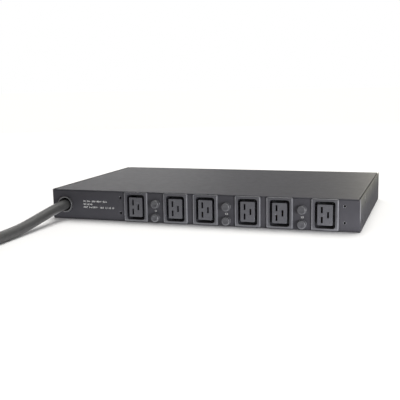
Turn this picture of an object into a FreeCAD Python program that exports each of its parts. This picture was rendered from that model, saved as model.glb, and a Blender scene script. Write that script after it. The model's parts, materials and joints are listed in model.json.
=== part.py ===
import FreeCAD, Part
import math
import os

# Rack power distribution unit: a folded steel case, one rack unit high, with three groups of two
# sockets and two push-to-reset breakers, and a fixed supply cord that ends in a round five-pin plug.
# Millimetres, +Z up. The sockets face -Y, and the origin is the middle of the case's underside.

Vector = FreeCAD.Vector
ALONG_X = Vector(1, 0, 0)
ALONG_Y = Vector(0, 1, 0)
ALONG_Z = Vector(0, 0, 1)
OVERCUT = 1.0  # how far a cutting tool reaches past the face it cuts

# Folded sheet of the case and its cover.
CASE_WIDTH = 445.0
CASE_DEPTH = 270.0
SHEET = 1.2
INNER_BEND = 0.4
COVER_SEAM = 0.5  # under the cover's plate, along the front and rear walls
COVER_GAP = 1.4  # between the cover's folds and the sides
COVER_BEND = 0.2
WALL_RETURN = 12.0  # flange along the top of the front and rear walls, folded inwards
COVER_LIP = 8.5  # height of the cover's side lips, its own sheet included
LIP_CLEARANCE = 2.0

# Sockets: a raised flange with a round edge, and a mouth with an island that holds the contacts.
GROUP_COUNT = 3
GROUP_GAP = 8.1  # between the flanges of neighbouring groups
SOCKET_SPACING = 59.6  # between the two sockets of a group
ROW_INSET = 27.6  # from the last flange to the case's right side
FLANGE_WIDTH = 35.4
FLANGE_MARGIN = 0.6  # from the flange to the case's top and bottom
FLANGE_PROUD = 3.2
FLANGE_CORNER = 2.4
FLANGE_EDGE = 1.8
MOUTH_WIDTH = 26.8
MOUTH_HEIGHT = 35.4
MOUTH_DEPTH = 20.0
MOUTH_CORNER = 3.8
MOUTH_EDGE = 0.4
ISLAND_WIDTH = 19.8
ISLAND_HEIGHT = 27.4
ISLAND_CORNER = 1.4
ISLAND_EDGE = 0.4
ISLAND_DROP = 0.4
SOCKET_WALL = 0.8
SOCKET_DEPTH = 30.0
SOCKET_FIT = 0.1
SOCKET_HEADROOM = 0.2
HOOK_HEIGHT = 8.0
HOOK_REACH = 1.2
HOOK_LENGTH = 6.0
HOOK_CLEARANCE = 0.2

# Contacts: spring clips behind the island's slots, with two bowed leaves and a tail at the back.
BLADE_SPACING = 13.0
EARTH_OFFSET = 8.0
SLOT_WIDTH = 2.6
SLOT_HEIGHT = 8.2
SLOT_LENGTH = 6.0
CLIP_SHEET = 0.6
CLIP_FLARE = 3.2  # between the leaves at their front ends
CLIP_GRIP = 1.8  # between the leaves where they grip a blade
CLIP_GAP = 3.0  # between the leaves at their closed end
CLIP_GRIP_DEPTH = 7.0
CLIP_HEIGHT = 8.0
CLIP_FIT = 0.3
CLIP_END = 2.0  # from the clip's closed end to the back of the socket
TAIL_LENGTH = 8.0
TAIL_HEIGHT = 5.0
TAIL_SHEET = 1.0

# Breakers: a sealed block behind the panel, a threaded neck with a ring nut, and a button.
BREAKER_WIDTH = 16.0
BREAKER_DEPTH = 33.0
BREAKER_GAP = 0.7
BREAKER_CORNER = 1.5
BUTTON_RISE = 6.0  # the button's axis above the bottom of its block
NECK_RADIUS = 4.7
NECK_FIT = 0.2
NUT_RADIUS = 6.3
NUT_HEIGHT = 1.6
NUT_EDGE = 0.9
BUTTON_RADIUS = 5.6
BUTTON_HEIGHT = 5.0
BUTTON_EDGE = 1.5
DISH_RADIUS = 3.4
DISH_DEPTH = 0.4
BUTTON_GAP = 0.5
STEM_RADIUS = 2.8
STEM_LENGTH = 14.0
STEM_FIT = 0.3
STEM_ROOM = 4.0
TAB_SHEET = 0.8
TAB_HEIGHT = 6.3
TAB_LENGTH = 10.0
TAB_OFFSET = 4.0
TAB_INSET = 6.0  # from the tab's middle to the near end of its block

# Holes for a cord bracket in the front and for rack ears in the sides, each with a clinch nut.
BRACKET_MARGIN = 7.1  # from an end flange to the holes beside it
BRACKET_RISE = 21.8
BRACKET_MIDDLE = 22.6
EAR_HOLE_INSET = 20.0
EAR_HOLE_SPAN = 32.0
EAR_HOLE_RISE = 18.0
BOLT_RADIUS = 2.0
CLINCH_RADIUS = 3.5
CLINCH_BORE = 1.65
CLINCH_HEIGHT = 2.5

# Countersunk screws through the sides into the cover's lips.
SCREW_COUNT = 3
SCREW_INSET = 50.0
SCREW_HEAD = 2.9
SCREW_SHANK = 1.4
SCREW_LENGTH = 7.0
SCREW_FIT = 0.1
RECESS_LENGTH = 3.2
RECESS_WIDTH = 0.8
RECESS_DEPTH = 0.6

# Bars and wires behind the sockets.
BAR_HEIGHT = 5.0
BAR_SHEET = 2.0
BAR_OVERHANG = 28.0  # past the middle of the first and last sockets
BAR_END = 4.0  # from a bar's left end to the first wire
LINK_WIDTH = 5.0
LINK_SHEET = 1.5
WIRE_RADIUS = 1.7
WIRE_STUB = 14.0  # straight length of a wire where it leaves a tab or a tail
LANE_FIRST = 18.0
LANE_PITCH = 8.0

# Terminal block for the supply cord's five cores.
POLE_COUNT = 5
POLE_PITCH = 10.0
POLE_WALL = 1.6
BLOCK_INSET = 6.0
BLOCK_SETBACK = 60.0
BLOCK_DEPTH = 24.0
BLOCK_HEIGHT = 12.0
BARRIER_RISE = 6.0
TERMINAL_RADIUS = 2.6
TERMINAL_HEIGHT = 2.4
TERMINAL_INSET = 5.5

# Earth stud on the case's floor.
STUD_RADIUS = 2.5
STUD_HEIGHT = 12.0
STUD_INSET_X = 26.0
STUD_SETBACK = 86.0
STUD_NUT_FLATS = 8.0
STUD_NUT_HEIGHT = 4.0
STUD_FIT = 0.1
LUG_RADIUS = 5.0
LUG_SHEET = 1.0
LUG_TONGUE = 14.0

# Bushing that the cord leaves by.
GLAND_INSET = 21.7  # from the case's left side
BUSHING_RADIUS = 11.75
BUSHING_PROUD = 4.0
BUSHING_EDGE = 0.8
BUSHING_LIP = 1.8
BUSHING_BARREL = 9.8
BUSHING_LENGTH = 14.0
BUSHING_THROAT = 6.0
BUSHING_FIT = 0.15
LOCKNUT_FLATS = 25.0
LOCKNUT_HEIGHT = 5.0

# Supply cord, coiled beside the case: two full turns and a half turn on top.
CORD_RADIUS = 7.25
CORD_FIT = 0.2
SHEATH_WALL = 1.5
SHEATH_INSIDE = 26.0
CORE_RADIUS = 1.4
CORE_ANGLES = (180, 252, 108, 324, 36)  # places in the sheath of the cores that fan out from left to right
CORE_STUB = 9.0
COIL_RADIUS = 87.0
COIL_SHIFT = 89.2  # from the bushing's axis to the middle of the coil, to the left
COIL_AHEAD = 260.0  # from the case's front to the middle of the coil
COIL_LAYERS = 2
LEAD_STRAIGHT = 15.0  # the cord's straight way out of the bushing
LEAD_SLOPE = 68.0  # from the case's front to the middle of the cord's way down
LEAD_DROP = 6.8
LEAD_LANDING = 123.0  # from the case's front to where the cord lies on the floor
LEAD_APPROACH = 67.0  # from where it rises again to the middle of the coil
LEAD_STRAY = 1.2  # how far the cord strays to the left on its way to the coil
TAIL_DROP = 2.5
TAIL_LIFTOFF = 50.0  # from the middle of the coil to where the cord leaves it
TAIL_APPROACH = 23.0  # from where the cord is level to the back of the plug
TAIL_STRAY = 2.0  # how far it bows to the left on its way to the plug
TIE_SHEET = 1.0
TIE_FIT = 0.2
TIE_SWEEP = 11.0  # degrees of the coil that the tie covers

# Round five-pin plug on the cord's end, lying with its axis along Y.
PLUG_AHEAD = 140.0  # from the case's front to the back end of the plug
PLUG_NUT_RADIUS = 16.5
PLUG_NUT_LENGTH = 24.0
PLUG_NUT_TAPER = 8.0
PLUG_NUT_FLUTES = 12
FLUTE_RADIUS = 1.6
HANDLE_BACK_RADIUS = 18.0
HANDLE_FRONT_RADIUS = 28.0
HANDLE_LENGTH = 66.0
HANDLE_TAPER = 44.0
HANDLE_WALL = 2.8
COLLAR_RADIUS = 33.0
COLLAR_LENGTH = 7.0
SLEEVE_RADIUS = 29.5
SLEEVE_WALL = 2.6
SLEEVE_LENGTH = 56.0
KEY_WIDTH = 7.0
KEY_HEIGHT = 3.0
INSERT_LENGTH = 18.0
INSERT_FIT = 0.2
PIN_COUNT = 5
PIN_CIRCLE = 17.0
PIN_RADIUS = 2.5
EARTH_PIN_RADIUS = 3.5
PIN_LENGTH = 34.0
PIN_TIP = 1.2

# Places and sizes that follow from the values above.
FRONT = -CASE_DEPTH / 2
REAR = CASE_DEPTH / 2
INSIDE_X = CASE_WIDTH / 2 - SHEET
PANEL_BACK = FRONT + SHEET
SOCKET_WIDTH = MOUTH_WIDTH + 2 * SOCKET_WALL
SOCKET_HEIGHT = MOUTH_HEIGHT + 2 * SOCKET_WALL
CASE_HEIGHT = SOCKET_HEIGHT + 2 * (2 * SHEET + COVER_SEAM + SOCKET_HEADROOM)
MIDDLE = CASE_HEIGHT / 2
WALL_TOP = CASE_HEIGHT - SHEET - COVER_SEAM
FLANGE_HEIGHT = CASE_HEIGHT - 2 * FLANGE_MARGIN
FLANGE_FRONT = FRONT - FLANGE_PROUD
SOCKET_BACK = FRONT + SOCKET_DEPTH
CLIP_WIDTH = CLIP_FLARE + 2 * CLIP_SHEET
TAIL_BACK = SOCKET_BACK + TAIL_LENGTH
BAR_BACK = TAIL_BACK + BAR_SHEET
BREAKER_HEIGHT = (WALL_TOP - 2 * SHEET - 3 * BREAKER_GAP) / 2
BREAKER_BOTTOMS = (SHEET + BREAKER_GAP, SHEET + 2 * BREAKER_GAP + BREAKER_HEIGHT)
BREAKER_BACK = PANEL_BACK + BREAKER_DEPTH
TAB_HEIGHTS = (BREAKER_BOTTOMS[0] + TAB_INSET, BREAKER_BOTTOMS[1] + BREAKER_HEIGHT - TAB_INSET)
TAB_BACK = BREAKER_BACK + TAB_LENGTH
LINK_BACK = TAB_BACK + LINK_SHEET
GROUP_WIDTH = SOCKET_SPACING + FLANGE_WIDTH
LAST_GROUP = CASE_WIDTH / 2 - ROW_INSET - GROUP_WIDTH / 2
GROUP_CENTERS = [LAST_GROUP - i * (GROUP_WIDTH + GROUP_GAP) for i in reversed(range(GROUP_COUNT))]
SOCKET_CENTERS = [x + side * SOCKET_SPACING / 2 for x in GROUP_CENTERS for side in (-1, 1)]
BRACKET_LEFT = SOCKET_CENTERS[0] - FLANGE_WIDTH / 2 - BRACKET_MARGIN
BRACKET_RIGHT = SOCKET_CENTERS[-1] + FLANGE_WIDTH / 2 + BRACKET_MARGIN
BAR_LEFT = SOCKET_CENTERS[0] - BAR_OVERHANG
BAR_RIGHT = SOCKET_CENTERS[-1] + BAR_OVERHANG / 2
SCREW_HEIGHT = CASE_HEIGHT - SHEET - (COVER_LIP - SHEET) / 2
SCREW_PITCH = (CASE_DEPTH - 2 * SCREW_INSET) / (SCREW_COUNT - 1)
SCREW_PLACES = [FRONT + SCREW_INSET + i * SCREW_PITCH for i in range(SCREW_COUNT)]
BLOCK_LEFT = -CASE_WIDTH / 2 + BLOCK_INSET
BLOCK_WIDTH = POLE_COUNT * POLE_PITCH + POLE_WALL
BLOCK_FRONT = FRONT + BLOCK_SETBACK
BLOCK_BACK = BLOCK_FRONT + BLOCK_DEPTH
POLE_PLACES = [BLOCK_LEFT + POLE_WALL / 2 + (i + 0.5) * POLE_PITCH for i in range(POLE_COUNT)]
WIRE_HEIGHT = SHEET + BLOCK_HEIGHT / 2
STUD_PLACE = Vector(CASE_WIDTH / 2 - STUD_INSET_X, FRONT + STUD_SETBACK, SHEET)
GLAND = Vector(-CASE_WIDTH / 2 + GLAND_INSET, FRONT, MIDDLE)
SHEATH_END = FRONT + SHEATH_INSIDE
COIL_CENTER = Vector(GLAND.x - COIL_SHIFT, FRONT - COIL_AHEAD, 0)
COIL_FLOOR = CORD_RADIUS + TIE_SHEET + TIE_FIT
COIL_UPPER = COIL_FLOOR + (COIL_LAYERS - 1) * 2 * CORD_RADIUS
COIL_TOP = COIL_UPPER + 2 * CORD_RADIUS
PLUG_X = COIL_CENTER.x - COIL_RADIUS
PLUG_Z = COLLAR_RADIUS
PLUG_BACK = FRONT - PLUG_AHEAD
HANDLE_BACK = PLUG_BACK + PLUG_NUT_LENGTH
SLEEVE_BACK = HANDLE_BACK + HANDLE_LENGTH
SLEEVE_FRONT = SLEEVE_BACK + SLEEVE_LENGTH
INSERT_FRONT = SLEEVE_BACK + INSERT_LENGTH

# The cord's way from inside the case to the coil, and from the top of the coil to the plug.
LEAD_ROUTE = [
    Vector(GLAND.x, SHEATH_END, GLAND.z),
    Vector(GLAND.x, FRONT - LEAD_STRAIGHT, GLAND.z),
    Vector(GLAND.x - LEAD_STRAY / 3, FRONT - LEAD_SLOPE, GLAND.z - LEAD_DROP),
    Vector(GLAND.x - LEAD_STRAY, FRONT - LEAD_LANDING, CORD_RADIUS),
    Vector(GLAND.x - LEAD_STRAY / 3, COIL_CENTER.y + LEAD_APPROACH, CORD_RADIUS),
    Vector(COIL_CENTER.x + COIL_RADIUS, COIL_CENTER.y, COIL_FLOOR),
]
TAIL_ROUTE = [
    Vector(PLUG_X, COIL_CENTER.y, COIL_TOP),
    Vector(PLUG_X - TAIL_STRAY, COIL_CENTER.y + TAIL_LIFTOFF, COIL_TOP - TAIL_DROP),
    Vector(PLUG_X, PLUG_BACK - TAIL_APPROACH, PLUG_Z),
    Vector(PLUG_X, HANDLE_BACK, PLUG_Z),
]


# Shared shapes.
def box(x0, x1, y0, y1, z0, z1):
    return Part.makeBox(x1 - x0, y1 - y0, z1 - z0, Vector(x0, y0, z0))


def rod(radius, start, length, direction=ALONG_Y):
    return Part.makeCylinder(radius, length, start, direction)


def edges_along(shape, direction):
    straight = [edge for edge in shape.Edges if isinstance(edge.Curve, Part.Line)]
    return [edge for edge in straight if abs(edge.tangentAt(edge.FirstParameter).dot(direction)) > 0.999]


def edges_at_depth(shape, y):
    boxes = [(edge, edge.BoundBox) for edge in shape.Edges]
    return [edge for edge, size in boxes if abs(size.YMin - y) < 1e-6 and abs(size.YMax - y) < 1e-6]


def round_block(width, height, depth, corner, front):
    """Block that runs back from the middle of its front face, with round corners seen from the front."""
    block = box(front.x - width / 2, front.x + width / 2, front.y, front.y + depth,
                front.z - height / 2, front.z + height / 2)
    return block.makeFillet(corner, edges_along(block, ALONG_Y))


def turned(profile, x, z):
    """Body turned about an axis along Y, from a closed outline of (radius, y) points."""
    points = [Vector(x + radius, y, z) for radius, y in profile]
    outline = Part.makePolygon(points + points[:1])
    return Part.Face(outline).revolve(Vector(x, 0, z), ALONG_Y, 360)


def hexagon(flats, height, start, direction):
    """Six-sided prism of the given width across its flats."""
    corner = flats / math.sqrt(3)
    side = ALONG_X if abs(direction.dot(ALONG_X)) < 0.5 else ALONG_Z
    turn = FreeCAD.Rotation(direction, 60)
    points = [side * corner]
    for _ in range(6):
        points.append(turn.multVec(points[-1]))
    return Part.Face(Part.makePolygon([start + point for point in points])).extrude(direction * height)


def rounded_path(points):
    """Straight runs joined by tangent arcs, each as large as its two runs allow, and the arcs' radii."""
    edges = []
    radii = []
    start = points[0]
    for before, corner, after in zip(points, points[1:], points[2:]):
        back = (before - corner).normalize()
        ahead = (after - corner).normalize()
        half_turn = (math.pi - back.getAngle(ahead)) / 2
        trim = 0.45 * min((before - corner).Length, (after - corner).Length)
        radius = trim / math.tan(half_turn)
        inward = (back + ahead).normalize()
        middle = corner + inward * (radius / math.cos(half_turn) - radius)
        arc_start = corner + back * trim
        arc_end = corner + ahead * trim
        edges.append(Part.LineSegment(start, arc_start).toShape())
        edges.append(Part.Arc(arc_start, middle, arc_end).toShape())
        radii.append(radius)
        start = arc_end
    edges.append(Part.LineSegment(start, points[-1]).toShape())
    return Part.Wire(edges), radii


def tube(points, radius):
    path, _ = rounded_path(points)
    section = Part.Wire(Part.makeCircle(radius, points[0], points[1] - points[0]))
    return path.makePipeShell([section], True, False)


def report_tube(name, points, radius, solid):
    path, radii = rounded_path(points)
    share = solid.Volume / (math.pi * radius ** 2 * path.Length)
    print(name, "length", round(path.Length, 1), "radii", [round(radius) for radius in radii])
    print(name, "volume over section times length", round(share, 4))


def save(name, *solids):
    shape = solids[0] if len(solids) == 1 else Part.makeCompound(solids)
    shape.exportStep("parts/" + name + ".step")


# Case.
def bracket_places():
    return [Vector(x, FRONT, BRACKET_MIDDLE + rise * BRACKET_RISE / 2)
            for x in (BRACKET_LEFT, BRACKET_RIGHT) for rise in (-1, 1)]


def ear_places(side):
    return [Vector(side * CASE_WIDTH / 2, FRONT + EAR_HOLE_INSET + step, MIDDLE + rise * EAR_HOLE_RISE / 2)
            for step in (0, EAR_HOLE_SPAN) for rise in (-1, 1)]


def case_shell():
    """Tray folded from one sheet: floor, sides of full height, and lower front and rear walls."""
    tray = box(-CASE_WIDTH / 2, CASE_WIDTH / 2, FRONT, REAR, 0, CASE_HEIGHT)
    inside = box(-INSIDE_X, INSIDE_X, PANEL_BACK, REAR - SHEET, SHEET, CASE_HEIGHT + OVERCUT)
    floor_edges = [edge for edge in tray.Edges if edge.BoundBox.ZMax < SHEET]
    tray = tray.makeFillet(INNER_BEND + SHEET, floor_edges + edges_along(tray, ALONG_Z))
    inner_edges = [edge for edge in inside.Edges if edge.BoundBox.ZMax < 2 * SHEET]
    inside = inside.makeFillet(INNER_BEND, inner_edges + edges_along(inside, ALONG_Z))
    above_walls = box(-INSIDE_X, INSIDE_X, FRONT - OVERCUT, REAR + OVERCUT, WALL_TOP, CASE_HEIGHT + OVERCUT)
    front_return = box(-INSIDE_X, INSIDE_X, FRONT, PANEL_BACK + WALL_RETURN, WALL_TOP - SHEET, WALL_TOP)
    rear_return = box(-INSIDE_X, INSIDE_X, REAR - SHEET - WALL_RETURN, REAR, WALL_TOP - SHEET, WALL_TOP)
    return tray.cut(inside).cut(above_walls).fuse([front_return, rear_return]).removeSplitter()


def case_cutters():
    """Tools for every opening in the case's walls."""
    cutters = []
    through = SHEET + 2 * OVERCUT
    ahead = Vector(0, OVERCUT, 0)
    for x in SOCKET_CENTERS:
        corner = Vector(x, FRONT - OVERCUT, MIDDLE)
        cutters.append(round_block(SOCKET_WIDTH + 2 * SOCKET_FIT, SOCKET_HEIGHT + 2 * SOCKET_FIT, through,
                                   SOCKET_WALL + SOCKET_FIT, corner))
    for x in GROUP_CENTERS:
        for bottom in BREAKER_BOTTOMS:
            start = Vector(x, FRONT - OVERCUT, bottom + BUTTON_RISE)
            cutters.append(rod(NECK_RADIUS + NECK_FIT, start, through))
    for place in bracket_places():
        cutters.append(rod(BOLT_RADIUS, place - ahead, through))
    cutters.append(rod(BUSHING_BARREL + BUSHING_FIT, GLAND - ahead, through))
    for side in (-1, 1):
        outward = ALONG_X * side
        for place in ear_places(side):
            cutters.append(rod(BOLT_RADIUS, place + outward * OVERCUT, through, -outward))
        for y in SCREW_PLACES:
            surface = Vector(side * CASE_WIDTH / 2, y, SCREW_HEIGHT)
            wide = SCREW_HEAD + SCREW_FIT
            narrow = SCREW_SHANK + SCREW_FIT
            cutters.append(Part.makeCone(wide, narrow, SHEET, surface, -outward))
    return cutters


def chassis_base():
    return case_shell().cut(case_cutters())


def top_cover():
    """Cover folded down at both sides, between the case's side walls."""
    half = INSIDE_X - COVER_GAP
    lip_bottom = CASE_HEIGHT - COVER_LIP
    plate_bottom = CASE_HEIGHT - SHEET
    cover = box(-half, half, FRONT, REAR, lip_bottom, CASE_HEIGHT)
    folds = [edge for edge in edges_along(cover, ALONG_Y) if edge.BoundBox.ZMin > plate_bottom]
    cover = cover.makeFillet(COVER_BEND + SHEET, folds)
    under = box(SHEET - half, half - SHEET, FRONT, REAR, lip_bottom, plate_bottom)
    lip_ends = SHEET + WALL_RETURN + LIP_CLEARANCE
    front_end = box(-half, half, FRONT, FRONT + lip_ends, lip_bottom, plate_bottom)
    rear_end = box(-half, half, REAR - lip_ends, REAR, lip_bottom, plate_bottom)
    starts = [Vector(-half, y, SCREW_HEIGHT) for y in SCREW_PLACES]
    holes = [rod(SCREW_SHANK + SCREW_FIT, start, 2 * half, ALONG_X) for start in starts]
    return cover.cut([under, front_end, rear_end] + holes)


def cover_screw(side, y):
    inward = ALONG_X * -side
    surface = Vector(side * CASE_WIDTH / 2, y, SCREW_HEIGHT)
    screw = Part.makeCone(SCREW_HEAD, SCREW_SHANK, SHEET, surface, inward)
    screw = screw.fuse(rod(SCREW_SHANK, surface, SCREW_LENGTH, inward))
    deep = surface.x + inward.x * RECESS_DEPTH
    left, right = sorted((surface.x, deep))
    for tall, wide in ((RECESS_LENGTH, RECESS_WIDTH), (RECESS_WIDTH, RECESS_LENGTH)):
        screw = screw.cut(box(left, right, y - wide / 2, y + wide / 2,
                              SCREW_HEIGHT - tall / 2, SCREW_HEIGHT + tall / 2))
    return screw.removeSplitter()


def clinch_nut(surface, inward):
    start = surface + inward * SHEET
    nut = rod(CLINCH_RADIUS, start, CLINCH_HEIGHT, inward)
    return nut.cut(rod(CLINCH_BORE, start, CLINCH_HEIGHT, inward))


# Sockets.
def contact_places(x):
    """Line, neutral and earth contacts of the socket at x, seen from the front."""
    left = x - EARTH_OFFSET / 2
    return [Vector(left, 0, MIDDLE + BLADE_SPACING / 2), Vector(left, 0, MIDDLE - BLADE_SPACING / 2),
            Vector(x + EARTH_OFFSET / 2, 0, MIDDLE)]


def snap_hook(x, side):
    """Ramp that grips the back of the panel beside its opening."""
    wall = x + side * SOCKET_WIDTH / 2
    start = PANEL_BACK + HOOK_CLEARANCE
    low = MIDDLE - HOOK_HEIGHT / 2
    points = [Vector(wall, start, low), Vector(wall + side * HOOK_REACH, start, low),
              Vector(wall, start + HOOK_LENGTH, low)]
    return Part.Face(Part.makePolygon(points + points[:1])).extrude(ALONG_Z * HOOK_HEIGHT)


def socket_housing(x):
    """One moulding: flange, tubular mouth, island with blade slots, and hooks at the sides."""
    face = Vector(x, FLANGE_FRONT, MIDDLE)
    flange = round_block(FLANGE_WIDTH, FLANGE_HEIGHT, FLANGE_PROUD, FLANGE_CORNER, face)
    flange = flange.makeFillet(FLANGE_EDGE, edges_at_depth(flange, FLANGE_FRONT))
    body = round_block(SOCKET_WIDTH, SOCKET_HEIGHT, SOCKET_DEPTH, SOCKET_WALL, Vector(x, FRONT, MIDDLE))
    mouth = round_block(MOUTH_WIDTH, MOUTH_HEIGHT, MOUTH_DEPTH, MOUTH_CORNER, face)
    shell = flange.fuse(body).cut(mouth)
    rim = [edge for edge in edges_at_depth(shell, FLANGE_FRONT) if mouth.BoundBox.isInside(edge.BoundBox)]
    shell = shell.makeFillet(MOUTH_EDGE, rim)
    island_face = face + ALONG_Y * ISLAND_DROP
    island = round_block(ISLAND_WIDTH, ISLAND_HEIGHT, MOUTH_DEPTH - ISLAND_DROP, ISLAND_CORNER, island_face)
    island = island.makeFillet(ISLAND_EDGE, edges_at_depth(island, island_face.y))
    housing = shell.fuse([island, snap_hook(x, -1), snap_hook(x, 1)])
    slot_end = FLANGE_FRONT + SLOT_LENGTH
    half_width = CLIP_WIDTH / 2 + CLIP_FIT
    half_height = CLIP_HEIGHT / 2 + CLIP_FIT
    for place in contact_places(x):
        slot = box(place.x - SLOT_WIDTH / 2, place.x + SLOT_WIDTH / 2, FLANGE_FRONT, slot_end,
                   place.z - SLOT_HEIGHT / 2, place.z + SLOT_HEIGHT / 2)
        chamber = box(place.x - half_width, place.x + half_width, slot_end, SOCKET_BACK,
                      place.z - half_height, place.z + half_height)
        housing = housing.cut([slot, chamber])
    return housing.removeSplitter()


def contact_clip(place):
    """Folded strip whose leaves bow in to grip a blade from both sides, with a tail for the wiring."""
    front = FLANGE_FRONT + SLOT_LENGTH + CLIP_FIT
    closed_end = SOCKET_BACK - CLIP_END
    bows = [(CLIP_FLARE / 2, front), (CLIP_GRIP / 2, front + CLIP_GRIP_DEPTH)]
    inner = bows + [(CLIP_GAP / 2, closed_end - CLIP_SHEET)]
    outer = [(half + CLIP_SHEET, y) for half, y in bows] + [(CLIP_GAP / 2 + CLIP_SHEET, closed_end)]
    right_side = list(reversed(outer)) + inner
    outline = right_side + [(-half, y) for half, y in reversed(right_side)]
    low = place.z - CLIP_HEIGHT / 2
    points = [Vector(place.x + half, y, low) for half, y in outline]
    clip = Part.Face(Part.makePolygon(points + points[:1])).extrude(ALONG_Z * CLIP_HEIGHT)
    tail = box(place.x - TAIL_SHEET / 2, place.x + TAIL_SHEET / 2, closed_end - CLIP_SHEET, TAIL_BACK,
               place.z - TAIL_HEIGHT / 2, place.z + TAIL_HEIGHT / 2)
    return clip.fuse(tail).removeSplitter()


# Breakers.
def breaker_body(x, bottom):
    axis = Vector(x, PANEL_BACK, bottom + BUTTON_RISE)
    block = round_block(BREAKER_WIDTH, BREAKER_HEIGHT, BREAKER_DEPTH, BREAKER_CORNER,
                        Vector(x, PANEL_BACK, bottom + BREAKER_HEIGHT / 2))
    neck_start = Vector(axis.x, FRONT - NUT_HEIGHT, axis.z)
    neck = rod(NECK_RADIUS, neck_start, NUT_HEIGHT + SHEET)
    bore = rod(STEM_RADIUS + STEM_FIT, neck_start, STEM_LENGTH + STEM_ROOM)
    return block.fuse(neck).cut(bore)


def breaker_nut(x, bottom):
    start = Vector(x, FRONT - NUT_HEIGHT, bottom + BUTTON_RISE)
    ring = rod(NUT_RADIUS, start, NUT_HEIGHT)
    ring = ring.makeFillet(NUT_EDGE, edges_at_depth(ring, start.y))
    return ring.cut(rod(NECK_RADIUS + NECK_FIT / 2, start, NUT_HEIGHT))


def breaker_button(x, bottom):
    """Round button with a shallow finger dish, on a stem that slides in the block."""
    back = FRONT - NUT_HEIGHT - BUTTON_GAP
    start = Vector(x, back - BUTTON_HEIGHT, bottom + BUTTON_RISE)
    cap = rod(BUTTON_RADIUS, start, BUTTON_HEIGHT)
    cap = cap.makeFillet(BUTTON_EDGE, edges_at_depth(cap, start.y))
    ball = (DISH_RADIUS ** 2 + DISH_DEPTH ** 2) / (2 * DISH_DEPTH)
    cap = cap.cut(Part.makeSphere(ball, start - ALONG_Y * (ball - DISH_DEPTH)))
    return cap.fuse(rod(STEM_RADIUS, start + ALONG_Y * BUTTON_HEIGHT, STEM_LENGTH))


def breaker_tab(x, height):
    return box(x - TAB_SHEET / 2, x + TAB_SHEET / 2, BREAKER_BACK, TAB_BACK,
               height - TAB_HEIGHT / 2, height + TAB_HEIGHT / 2)


def phase_link(x):
    """Strip that joins the supply tabs of a group's two breakers."""
    middle = x - TAB_OFFSET
    return box(middle - LINK_WIDTH / 2, middle + LINK_WIDTH / 2, TAB_BACK, LINK_BACK,
               TAB_HEIGHTS[0] - TAB_HEIGHT / 2, TAB_HEIGHTS[1] + TAB_HEIGHT / 2)


# Wiring.
def lane(pole):
    """Lanes count from the right-hand pole, so that no wire crosses another."""
    return POLE_COUNT - 1 - pole


def bus_bar(height):
    """Flat bar across the tails of like contacts, long enough for a wire at its left end."""
    return box(BAR_LEFT, BAR_RIGHT, TAIL_BACK, BAR_BACK, height - BAR_HEIGHT / 2, height + BAR_HEIGHT / 2)


def feed_route(pole, target):
    """From the back of the terminal block, along a lane of its own, to a target in front of it."""
    lane_y = BLOCK_BACK + LANE_FIRST + lane(pole) * LANE_PITCH
    x = POLE_PLACES[pole]
    return [Vector(x, BLOCK_BACK, WIRE_HEIGHT), Vector(x, lane_y, WIRE_HEIGHT),
            Vector(target.x, lane_y, WIRE_HEIGHT), target + ALONG_Y * WIRE_STUB, target]


def load_route(x, height, contact):
    """From a breaker's load tab to the line contact of its socket."""
    tab = Vector(x + TAB_OFFSET, TAB_BACK, height)
    tail = Vector(contact.x, TAIL_BACK, contact.z)
    behind = TAB_BACK + WIRE_STUB
    return [tab, Vector(tab.x, behind, tab.z), Vector(tail.x, behind, tail.z), tail]


def phase_wires(group):
    """The supply wire and the two load wires of one group."""
    x = GROUP_CENTERS[group]
    pole = GROUP_COUNT - 1 - group
    supply = feed_route(pole, Vector(x - TAB_OFFSET, LINK_BACK, TAB_HEIGHTS[1]))
    left_line = contact_places(SOCKET_CENTERS[2 * group])[0]
    right_line = contact_places(SOCKET_CENTERS[2 * group + 1])[0]
    routes = [supply, load_route(x, TAB_HEIGHTS[0], left_line), load_route(x, TAB_HEIGHTS[1], right_line)]
    return [tube(route, WIRE_RADIUS) for route in routes]


def bar_feed(pole, height):
    target = Vector(BAR_LEFT + BAR_END + lane(pole) * LANE_PITCH, BAR_BACK, height)
    return tube(feed_route(pole, target), WIRE_RADIUS)


def stud_wire(height):
    """Earth wire from the far end of the earth bar down to the lug on the stud."""
    start = Vector(BAR_RIGHT - BAR_END, BAR_BACK, height)
    landing = SHEET + LUG_SHEET + WIRE_RADIUS
    end = Vector(STUD_PLACE.x, STUD_PLACE.y - LUG_RADIUS, landing)
    approach = end - ALONG_Y * WIRE_STUB
    return tube([start, start + ALONG_Y * WIRE_STUB, approach, end], WIRE_RADIUS)


def stud_lug():
    ring = rod(LUG_RADIUS, STUD_PLACE, LUG_SHEET, ALONG_Z)
    tongue = box(STUD_PLACE.x - LUG_RADIUS / 2, STUD_PLACE.x + LUG_RADIUS / 2, STUD_PLACE.y - LUG_TONGUE,
                 STUD_PLACE.y, SHEET, SHEET + LUG_SHEET)
    return ring.fuse(tongue).cut(rod(STUD_RADIUS + STUD_FIT, STUD_PLACE, LUG_SHEET, ALONG_Z))


def stud_nut():
    start = STUD_PLACE + ALONG_Z * LUG_SHEET
    nut = hexagon(STUD_NUT_FLATS, STUD_NUT_HEIGHT, start, ALONG_Z)
    return nut.cut(rod(STUD_RADIUS + STUD_FIT, start, STUD_NUT_HEIGHT, ALONG_Z))


def terminal_block():
    """Insulating strip with a barrier either side of each pole."""
    block = box(BLOCK_LEFT, BLOCK_LEFT + BLOCK_WIDTH, BLOCK_FRONT, BLOCK_BACK, SHEET, SHEET + BLOCK_HEIGHT)
    barriers = []
    for i in range(POLE_COUNT + 1):
        left = BLOCK_LEFT + i * POLE_PITCH
        barriers.append(box(left, left + POLE_WALL, BLOCK_FRONT, BLOCK_BACK,
                            SHEET + BLOCK_HEIGHT, SHEET + BLOCK_HEIGHT + BARRIER_RISE))
    return block.fuse(barriers).removeSplitter()


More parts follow.
